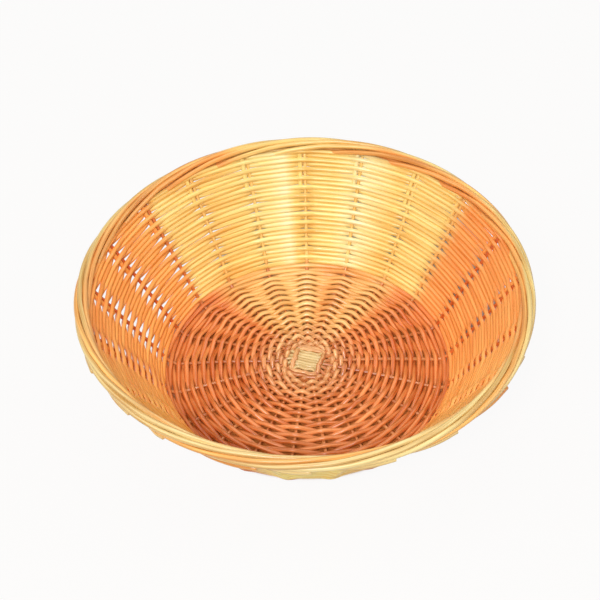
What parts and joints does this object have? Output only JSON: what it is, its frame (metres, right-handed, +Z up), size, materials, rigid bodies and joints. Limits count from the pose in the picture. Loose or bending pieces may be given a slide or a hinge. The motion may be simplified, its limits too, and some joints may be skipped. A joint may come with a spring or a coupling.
{
  "type": "woven bread basket",
  "caption": "Round flared open basket for bread, hand woven from round plastic cane, with a domed base and a rolled cane border.",
  "frame": {"origin": "on the basket's axis, in the plane of the table that it stands on", "axes": "+Z up through the open mouth, +X to the right and +Y away from the viewer, as the picture shows it"},
  "size_m": [0.2471, 0.2478, 0.07],
  "materials": {
    "weave": "satin gloss",
    "stakes": "satin gloss",
    "border": "satin gloss"
  },
  "bodies": {
    "root": {"base_weave": "weave", "wall_weave": "weave", "stake_cane_01": "stakes", "stake_cane_02": "stakes", "stake_cane_03": "stakes", "stake_cane_04": "stakes", "stake_cane_05": "stakes", "stake_cane_06": "stakes", "stake_cane_07": "stakes", "stake_cane_08": "stakes", "stake_cane_09": "stakes", "stake_cane_10": "stakes", "stake_cane_11": "stakes", "border_cane_01": "border", "border_cane_02": "border", "border_cane_03": "border", "border_cane_04": "border", "border_cane_05": "border", "border_cane_06": "border", "border_cane_07": "border", "border_cane_08": "border", "border_cane_09": "border", "border_cane_10": "border", "border_cane_11": "border", "border_cane_12": "border", "border_cane_13": "border", "border_cane_14": "border", "border_cane_15": "border", "border_cane_16": "border", "border_cane_17": "border", "border_cane_18": "border", "border_cane_19": "border", "border_cane_20": "border", "border_cane_21": "border"}
  },
  "joints": []
}
